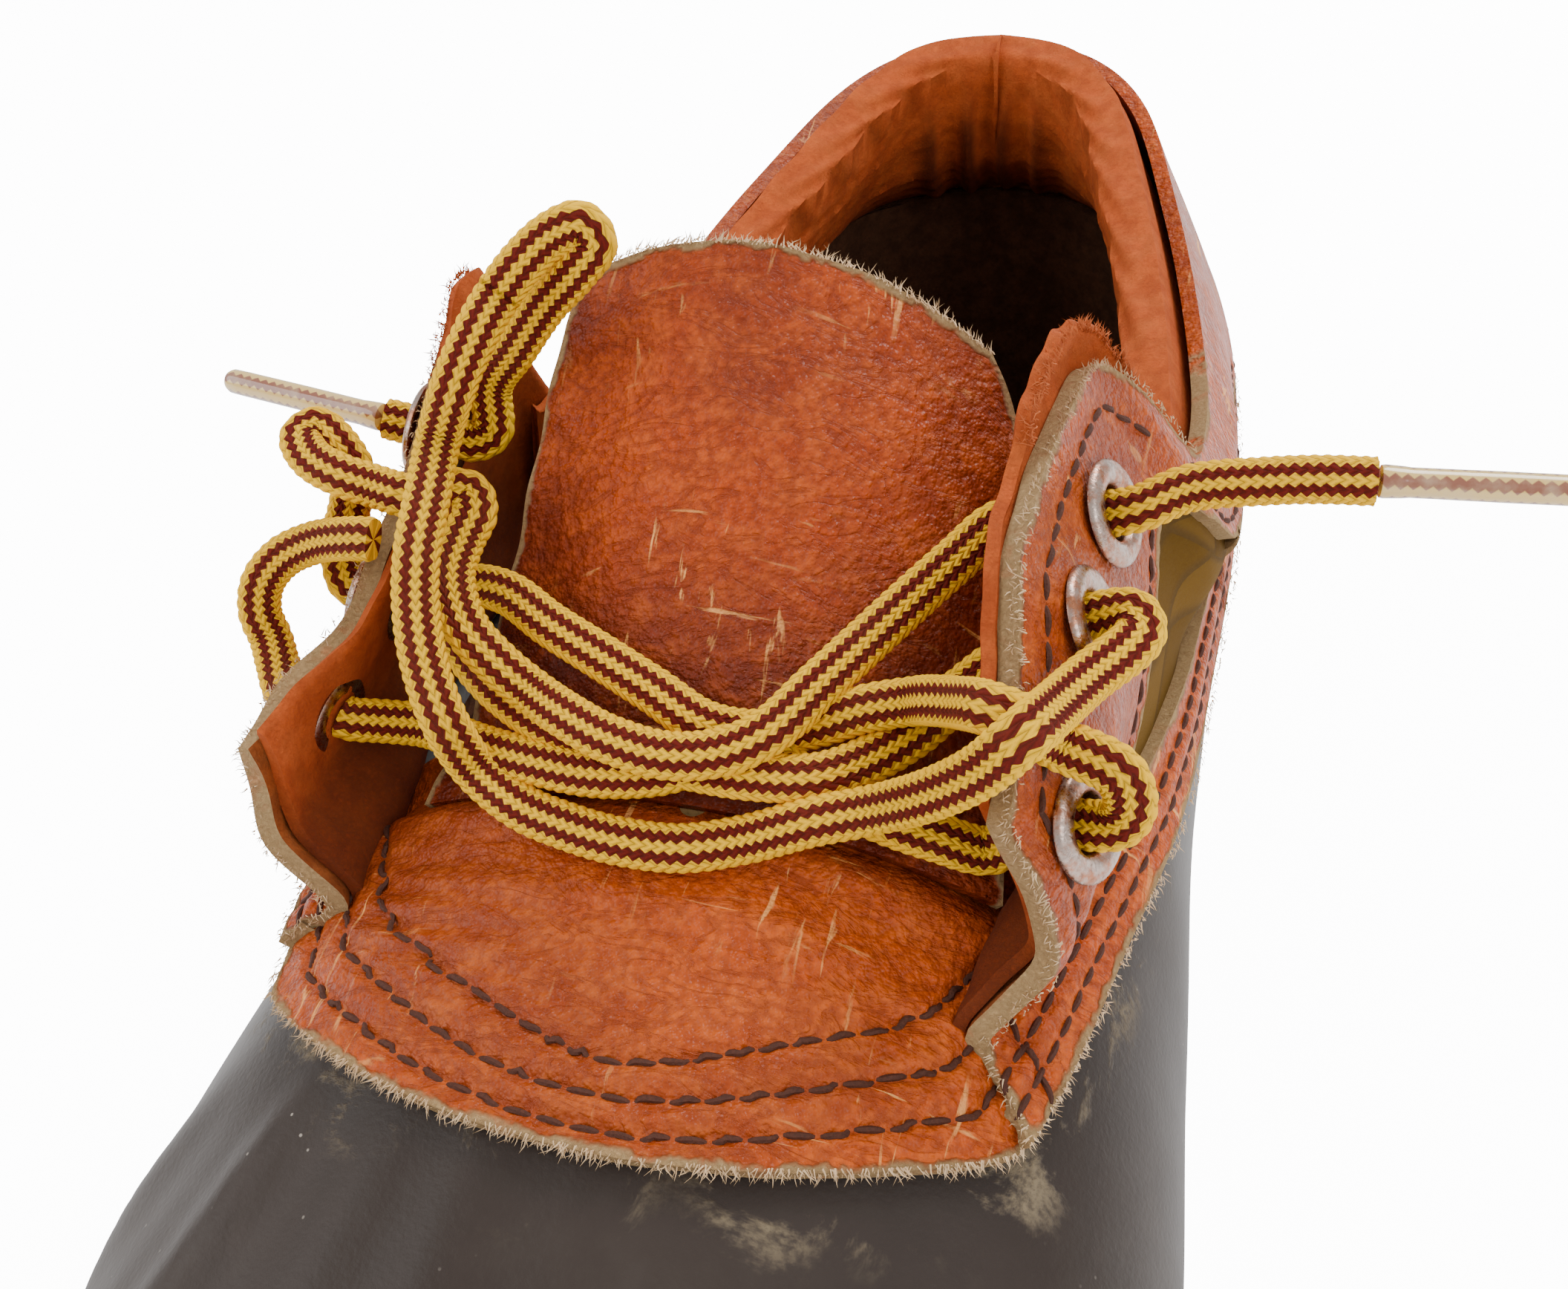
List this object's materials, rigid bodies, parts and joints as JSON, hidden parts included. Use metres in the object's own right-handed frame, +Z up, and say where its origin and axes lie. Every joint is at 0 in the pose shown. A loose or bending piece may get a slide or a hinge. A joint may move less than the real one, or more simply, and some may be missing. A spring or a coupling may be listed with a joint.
{
  "type": "duck shoe",
  "caption": "Low left duck shoe: moulded rubber bottom, stitched leather top with canvas side panels, padded collar, eyelets and a two-colour lace laid loose over the tongue.",
  "frame": {"origin": "centre of the shoe's footprint on the ground, the lace left out", "axes": "+Z up, -Y towards the toe, +X towards the wearer's outer side"},
  "size_m": [0.1505, 0.3026, 0.1185],
  "materials": {
    "rubber": "satin",
    "leather": "satin",
    "tongue_leather": "satin",
    "suede": "matte",
    "canvas": "matte",
    "insole": "matte",
    "eyelet": "satin",
    "lace": "matte",
    "aglet": "gloss"
  },
  "bodies": {
    "root": {"rubber_bottom": "rubber", "upper": "leather", "tongue": "tongue_leather", "collar_pad": "suede", "canvas_outer": "canvas", "canvas_inner": "canvas", "insole": "insole", "eyelet_outer_low": "eyelet", "eyelet_outer_middle": "eyelet", "eyelet_outer_top": "eyelet", "eyelet_inner_low": "eyelet", "eyelet_inner_middle": "eyelet", "eyelet_inner_top": "eyelet", "lace_crossings": "lace", "lace_end_inner": "lace", "lace_loop_upper": "lace", "lace_loop_lower": "lace", "lace_end_outer": "lace", "aglet_inner": "aglet", "aglet_outer": "aglet"}
  },
  "joints": []
}
